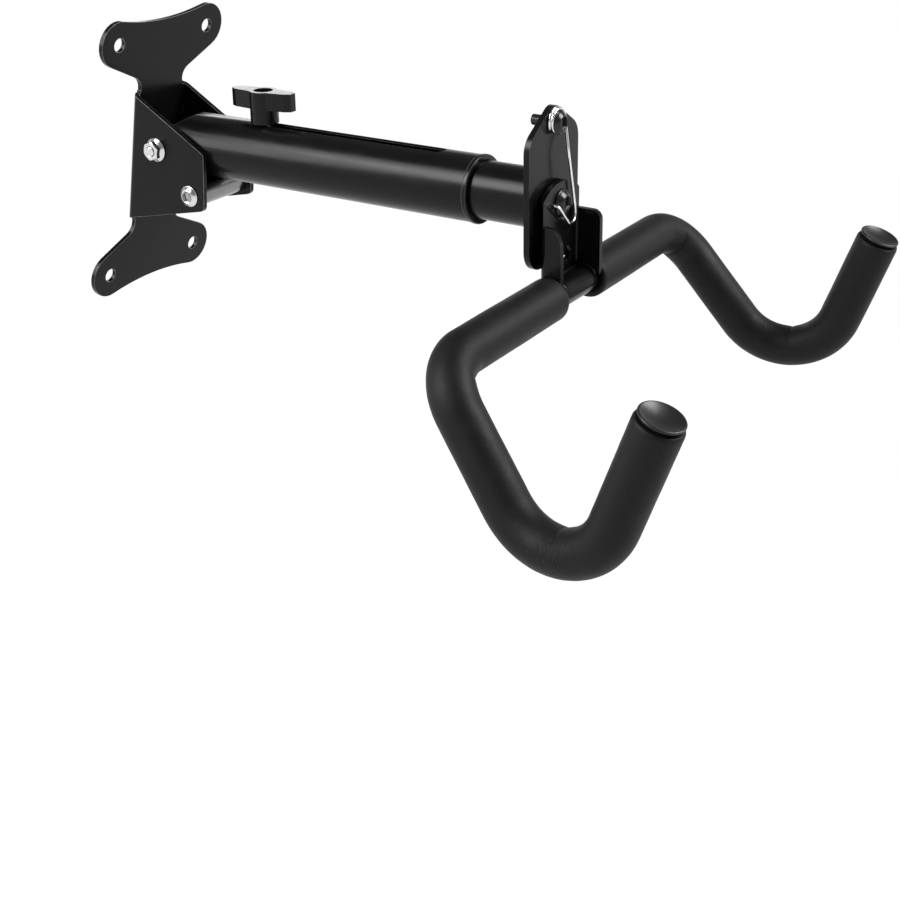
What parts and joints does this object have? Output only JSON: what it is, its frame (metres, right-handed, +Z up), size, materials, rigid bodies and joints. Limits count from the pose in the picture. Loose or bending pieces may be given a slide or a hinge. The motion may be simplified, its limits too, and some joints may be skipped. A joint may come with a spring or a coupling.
{
  "type": "folding wall bike rack",
  "caption": "Wall bike rack with a fold-up telescopic arm, clamp knob and a swivelling pair of foam-padded hooks locked by a spring wire.",
  "frame": {"origin": "on the wall plane, where the axis of the arm meets the back face of the bracket", "axes": "+Z up, +Y into the wall, X along the wall; the rack stands out along -Y"},
  "size_m": [0.32, 0.4312, 0.1991],
  "materials": {
    "black_steel": "satin",
    "black_plastic": "satin",
    "gloss_plastic": "gloss",
    "foam": "matte",
    "zinc": "satin",
    "black_oxide": "satin",
    "spring_wire": "polished"
  },
  "bodies": {
    "wall": {"wall_bracket": "black_steel", "pivot_bolt": "zinc", "pivot_nut": "zinc", "rest_bolt": "zinc", "rest_nut": "zinc", "rest_sleeve": "zinc"},
    "arm": {"outer_tube": "black_steel", "tube_collar": "black_plastic", "pivot_bush": "zinc"},
    "extension": {"inner_tube": "black_steel", "rear_glide": "black_plastic", "clamp_nut": "zinc", "lock_plate": "black_steel", "swivel_bolt": "black_oxide", "swivel_washer": "zinc", "swivel_nut": "zinc", "clip_bolt": "black_oxide", "clip_spacer": "zinc"},
    "knob": {"clamp_knob": "black_plastic", "knob_stud": "zinc"},
    "clip": {"wire_clip": "spring_wire"},
    "hooks": {"swivel_bracket": "black_steel", "hook_bar": "black_steel", "foam_left": "foam", "foam_right": "foam", "end_cap_left": "gloss_plastic", "end_cap_right": "gloss_plastic"}
  },
  "joints": [
    {"name": "arm_fold", "type": "hinge", "parent": "wall", "child": "arm", "pos_m": [0, -0.02184, 0.00283], "axis": [-1, 0, 0], "range_deg": [0, 52]},
    {"name": "arm_slide", "type": "slide", "parent": "arm", "child": "extension", "axis": [0, -0.9848, 0.1736], "range_m": [0, 0.12]},
    {"name": "knob_turn", "type": "hinge", "parent": "extension", "child": "knob", "pos_m": [0, -0.0843, 0.03446], "axis": [0, 0.1736, 0.9848], "range_deg": [0, 360]},
    {"name": "clip_swing", "type": "hinge", "parent": "extension", "child": "clip", "pos_m": [0, -0.2732, 0.09184], "axis": [0, -0.9848, 0.1736], "range_deg": [0, 35], "deforming": ["wire_clip"]},
    {"name": "hook_swivel", "type": "hinge", "parent": "extension", "child": "hooks", "pos_m": [0, -0.28234, 0.04979], "axis": [0, -0.9848, 0.1736], "range_deg": [-75, 75]}
  ]
}
